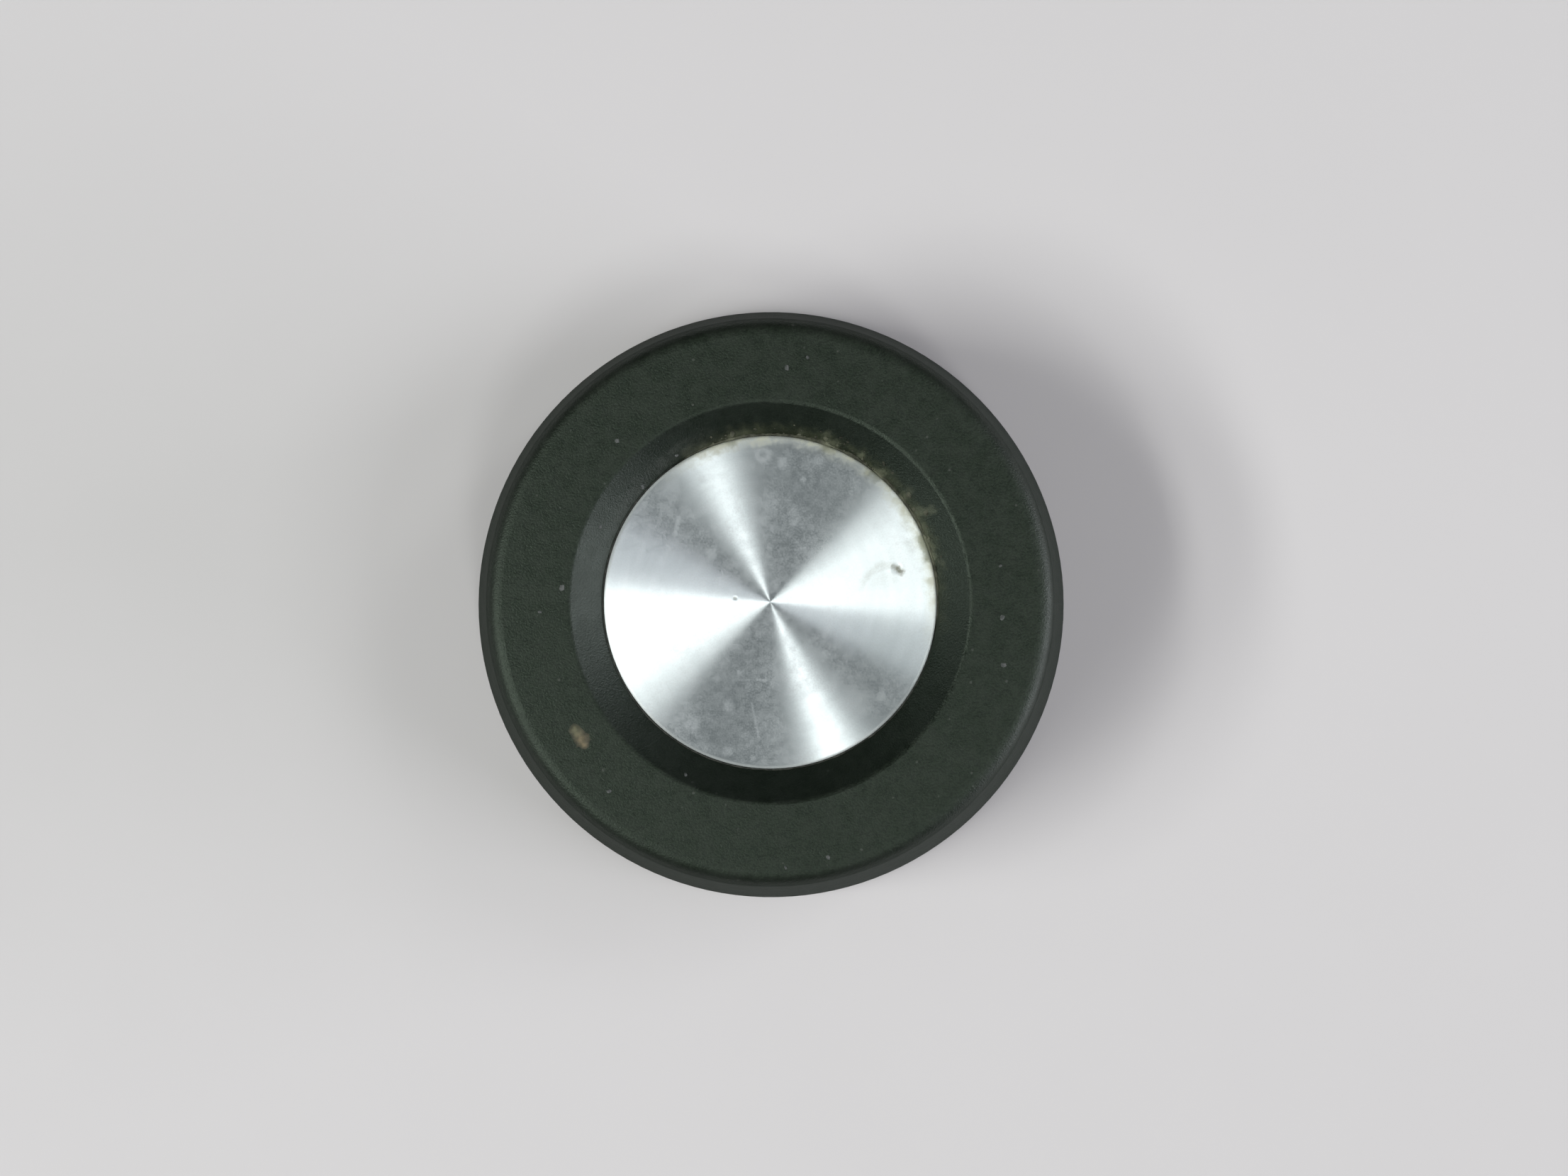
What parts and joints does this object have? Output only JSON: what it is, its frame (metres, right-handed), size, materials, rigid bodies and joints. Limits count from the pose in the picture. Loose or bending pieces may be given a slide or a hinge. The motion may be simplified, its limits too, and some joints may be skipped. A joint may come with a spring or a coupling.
{
  "type": "timer knob",
  "caption": "Round push-on timer knob with a tapered side, a dished face around a spun metal disc, and a split hub with a spring ring that grips a flatted shaft.",
  "frame": {"origin": "middle of the rim that the knob stands on, on the shaft's axis", "axes": "+Z along the shaft's axis, out of the face; the shaft's flat faces -Y and the slots between the jaws lie along X"},
  "size_m": [0.0524, 0.0524, 0.019],
  "materials": {
    "body_plastic": "fine matte moulded texture, dark green-black, lightly dusty",
    "disc_aluminium": "spun in fine rings, worn, with grime at the edge",
    "ring_steel": "rolled spring strip"
  },
  "bodies": {
    "root": {"knob_body": "body_plastic", "face_disc": "disc_aluminium", "spring_ring": "ring_steel"}
  },
  "joints": []
}
